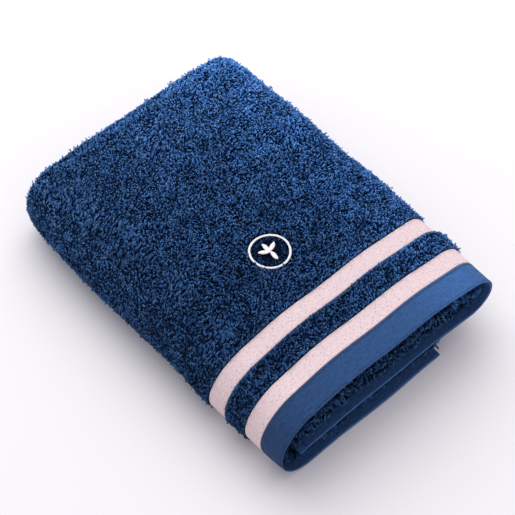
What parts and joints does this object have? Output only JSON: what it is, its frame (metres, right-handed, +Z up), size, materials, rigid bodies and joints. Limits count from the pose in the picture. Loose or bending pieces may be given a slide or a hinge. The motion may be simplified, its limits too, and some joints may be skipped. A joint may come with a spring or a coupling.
{
  "type": "bath towel",
  "caption": "Terry bath towel folded to a flat stack, with flat woven hem, two pale stripes and a round embroidered badge; the stack opens like a book about its left side.",
  "frame": {"origin": "centre of the folded stack's footprint, on the surface it lies on", "axes": "+X across the stack to its right side, -Y to the end with the hem and stripes, +Z up"},
  "size_m": [0.24, 0.332, 0.0743],
  "materials": {
    "navy_terry": "looped cotton terry pile",
    "pink_stripe": "flat dobby weave",
    "flat_weave_hem": "fine flat weave",
    "sewing_thread": "matt sewing thread",
    "embroidery_thread": "satin stitched thread"
  },
  "bodies": {
    "floor_third": {"bottom_back_fold": "navy_terry", "bottom_end_hem": "flat_weave_hem", "bottom_hem_seam": "sewing_thread", "bottom_inner_fold": "navy_terry", "bottom_inner_stripe": "pink_stripe", "bottom_outer_stripe": "pink_stripe", "bottom_second_layer": "navy_terry", "bottom_side_hem": "flat_weave_hem", "bottom_terry_band": "navy_terry", "bottom_terry_face": "navy_terry", "left_fold_lower_back_fold": "navy_terry", "left_fold_lower_end_hem": "flat_weave_hem", "left_fold_lower_hem_seam": "sewing_thread", "left_fold_lower_inner_fold": "navy_terry", "left_fold_lower_inner_stripe": "pink_stripe", "left_fold_lower_outer_stripe": "pink_stripe", "left_fold_lower_second_layer": "navy_terry", "left_fold_lower_terry_band": "navy_terry", "left_fold_lower_terry_face": "navy_terry"},
    "upper_thirds": {"badge_ring": "embroidery_thread", "badge_sprig": "embroidery_thread", "left_fold_upper_back_fold": "navy_terry", "left_fold_upper_end_hem": "flat_weave_hem", "left_fold_upper_hem_seam": "sewing_thread", "left_fold_upper_inner_fold": "navy_terry", "left_fold_upper_inner_stripe": "pink_stripe", "left_fold_upper_outer_stripe": "pink_stripe", "left_fold_upper_second_layer": "navy_terry", "left_fold_upper_terry_band": "navy_terry", "left_fold_upper_terry_face": "navy_terry", "right_fold_back_fold": "navy_terry", "right_fold_end_hem": "flat_weave_hem", "right_fold_hem_seam": "sewing_thread", "right_fold_inner_fold": "navy_terry", "right_fold_inner_stripe": "pink_stripe", "right_fold_outer_stripe": "pink_stripe", "right_fold_second_layer": "navy_terry", "right_fold_terry_band": "navy_terry", "right_fold_terry_face": "navy_terry", "top_back_fold": "navy_terry", "top_end_hem": "flat_weave_hem", "top_hem_seam": "sewing_thread", "top_inner_fold": "navy_terry", "top_inner_stripe": "pink_stripe", "top_outer_stripe": "pink_stripe", "top_second_layer": "navy_terry", "top_terry_band": "navy_terry", "top_terry_face": "navy_terry", "under_back_fold": "navy_terry", "under_end_hem": "flat_weave_hem", "under_hem_seam": "sewing_thread", "under_inner_fold": "navy_terry", "under_inner_stripe": "pink_stripe", "under_outer_stripe": "pink_stripe", "under_second_layer": "navy_terry", "under_side_hem": "flat_weave_hem", "under_terry_band": "navy_terry", "under_terry_face": "navy_terry"}
  },
  "joints": [
    {"name": "left_fold_opening", "type": "hinge", "parent": "floor_third", "child": "upper_thirds", "pos_m": [-0.12, 0, 0.03675], "axis": [0, -1, 0], "range_deg": [0, 179]}
  ]
}
